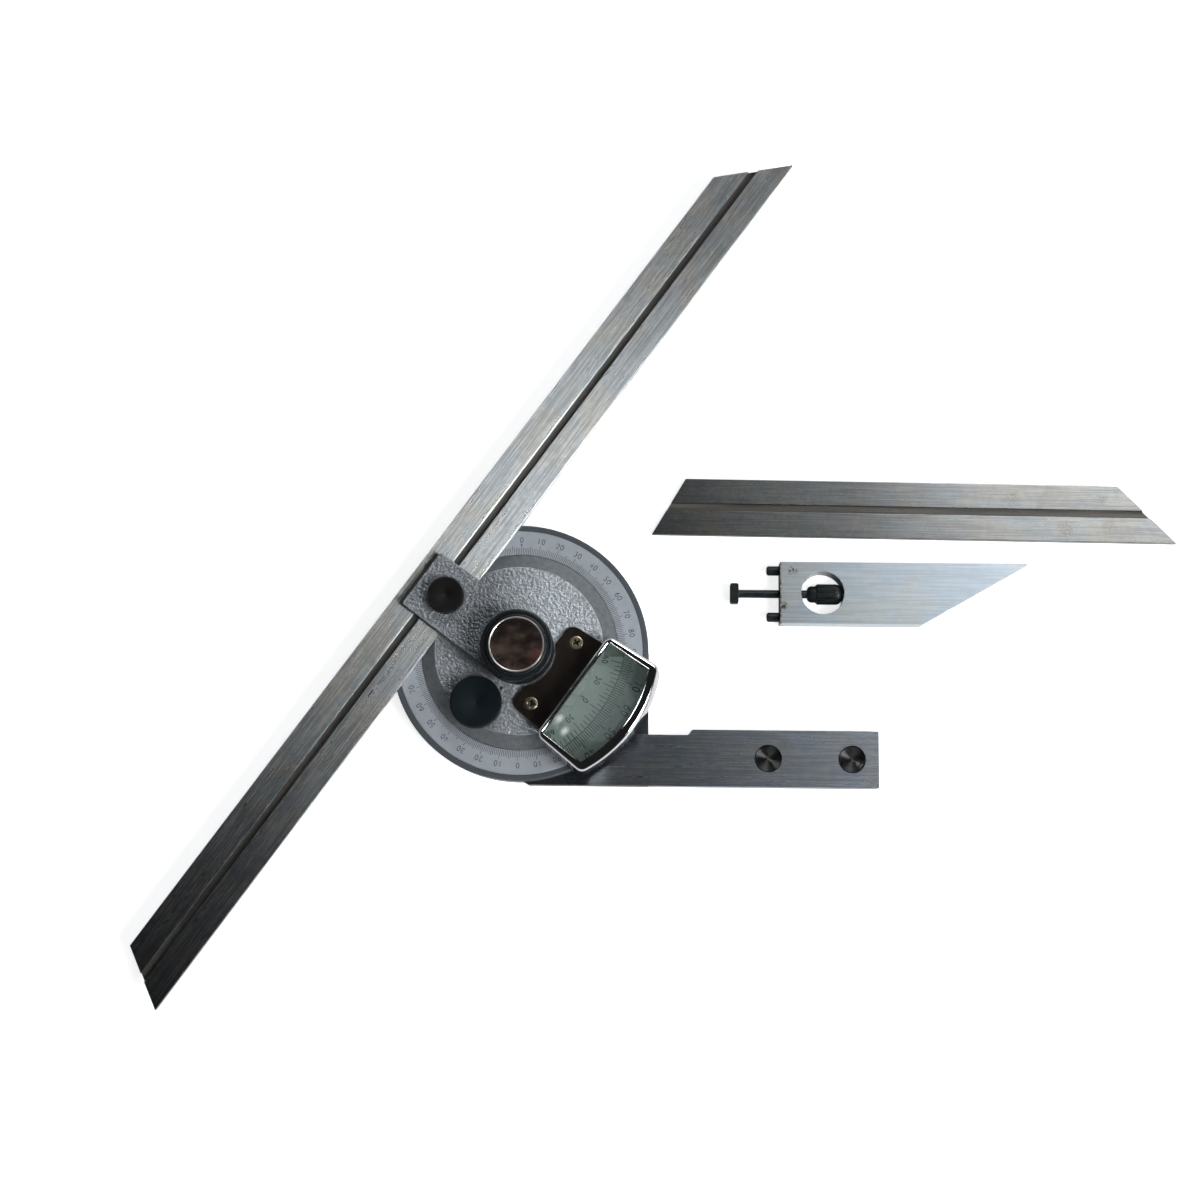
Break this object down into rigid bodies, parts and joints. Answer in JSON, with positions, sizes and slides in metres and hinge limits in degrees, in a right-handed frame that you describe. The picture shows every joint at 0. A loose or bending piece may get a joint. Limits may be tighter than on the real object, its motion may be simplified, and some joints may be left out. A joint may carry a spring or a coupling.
{
  "type": "bevel protractor",
  "caption": "Vernier bevel protractor with sliding blade, fine adjustment and magnifier, with a spare short blade and an acute angle attachment.",
  "frame": {"origin": "on the turning axis of the dial, in the plane of the flat back", "axes": "+X along the stock to its free end, +Y across the stock towards the dial, +Z out of the dial"},
  "size_m": [0.2926, 0.2436, 0.0243],
  "materials": {
    "ground_steel": "ground steel with dark rim",
    "satin_scale": "satin chrome",
    "plain_steel": "machined",
    "dark_steel": "blackened, turned",
    "hammer_paint": "hammered grey paint",
    "bush_brass": "machined",
    "dark_bronze": "dark bronze finish, satin",
    "screw_zinc": "yellow zinc plated",
    "bright_chrome": "polished chrome",
    "lens_glass": "polished",
    "black_chrome": "black chrome, polished"
  },
  "bodies": {
    "body": {"stock_body": "ground_steel", "dial_ring": "satin_scale", "ring_gear": "plain_steel", "spindle": "plain_steel", "back_cover": "ground_steel", "back_screws": "dark_steel", "stock_plugs": "dark_steel"},
    "turret": {"turret_plate": "hammer_paint", "clamp_arm": "hammer_paint", "arm_screws": "plain_steel", "vernier_plate": "satin_scale", "fine_bush": "bush_brass", "clamp_bush": "bush_brass", "clamp_washer": "dark_steel", "thrust_washer": "plain_steel", "magnifier_bracket": "dark_bronze", "bracket_screws": "screw_zinc", "magnifier_frame": "bright_chrome", "magnifier_lens": "lens_glass"},
    "blade": {"blade": "ground_steel"},
    "centre_clamp": {"centre_knob": "dark_steel", "knob_cap": "black_chrome"},
    "fine_adjust": {"fine_knob": "dark_steel", "fine_pinion": "plain_steel"},
    "blade_clamp": {"blade_clamp_knob": "dark_steel", "eccentric_shaft": "plain_steel"},
    "short_blade": {"short_blade": "ground_steel"},
    "attachment": {"attachment_plate": "ground_steel", "attachment_pins": "dark_steel"},
    "t_bolt": {"attachment_bolt": "dark_steel"},
    "nut": {"attachment_nut": "dark_steel"}
  },
  "joints": [
    {"name": "turret_swing", "type": "hinge", "parent": "body", "child": "turret", "pos_m": [0, 0, 0.005], "axis": [0, 0, 1], "continuous": true},
    {"name": "blade_slide", "type": "slide", "parent": "turret", "child": "blade", "axis": [0.5835, 0.8121, 0], "range_m": [-0.13, 0.115]},
    {"name": "centre_clamp_turn", "type": "hinge", "parent": "body", "child": "centre_clamp", "pos_m": [0, 0, 0.018], "axis": [0, 0, 1], "range_deg": [0, 90]},
    {"name": "fine_adjust_spin", "type": "hinge", "parent": "turret", "child": "fine_adjust", "pos_m": [-0.01161, -0.01491, 0.011], "axis": [0, 0, 1], "continuous": true},
    {"name": "blade_clamp_turn", "type": "hinge", "parent": "turret", "child": "blade_clamp", "pos_m": [-0.02055, 0.01476, 0.012], "axis": [0, 0, 1], "range_deg": [-17, 17]},
    {"name": "short_blade_away", "type": "slide", "parent": "body", "child": "short_blade", "axis": [1, 0, 0], "range_m": [0, 0.05]},
    {"name": "attachment_away", "type": "slide", "parent": "body", "child": "attachment", "axis": [1, 0, 0], "range_m": [0, 0.05]},
    {"name": "nut_spin", "type": "hinge", "parent": "attachment", "child": "nut", "pos_m": [0.0863, 0.0178, 0.0033], "axis": [1, 0, 0], "range_deg": [0, 1080]},
    {"name": "bolt_draw", "type": "slide", "parent": "attachment", "child": "t_bolt", "axis": [1, 0, 0], "range_m": [0, 0.0015]}
  ],
  "couplings": [
    {"joint": "fine_adjust_spin", "follows": "turret_swing", "ratio": -5.2},
    {"joint": "nut_spin", "follows": "bolt_draw", "rad_per_m": 12566}
  ]
}
